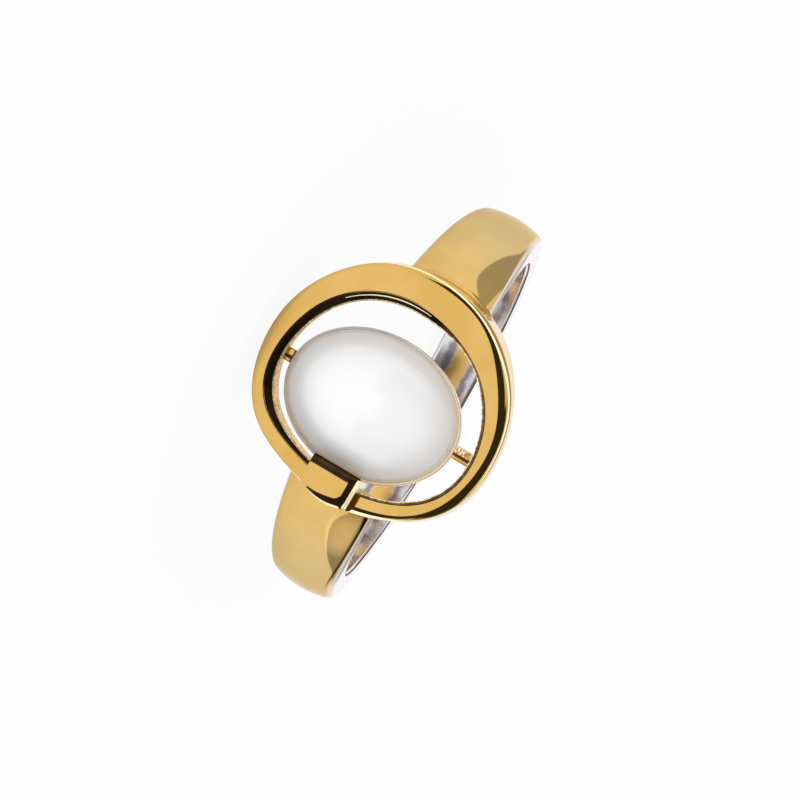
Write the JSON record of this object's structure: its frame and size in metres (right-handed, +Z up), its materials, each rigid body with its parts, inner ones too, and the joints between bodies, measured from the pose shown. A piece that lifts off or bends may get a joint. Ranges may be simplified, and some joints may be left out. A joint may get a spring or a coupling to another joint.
{
  "type": "mother-of-pearl ring",
  "caption": "Gold finger ring with an oval mother-of-pearl cabochon hung inside an open crescent hoop on a tapering band.",
  "frame": {"origin": "middle of the ring's footprint, on the table that it lies on", "axes": "+Z up; -Y the way the head faces; +X towards the raised tab; the finger hole's axis leans 14 degrees back from +Z"},
  "size_m": [0.0214, 0.0238, 0.013],
  "materials": {
    "gold": "polished yellow gold, paler inside the band",
    "pearl": "milky white mother-of-pearl, polished"
  },
  "bodies": {
    "root": {"gold_frame": "gold", "pearl_cabochon": "pearl"}
  },
  "joints": []
}
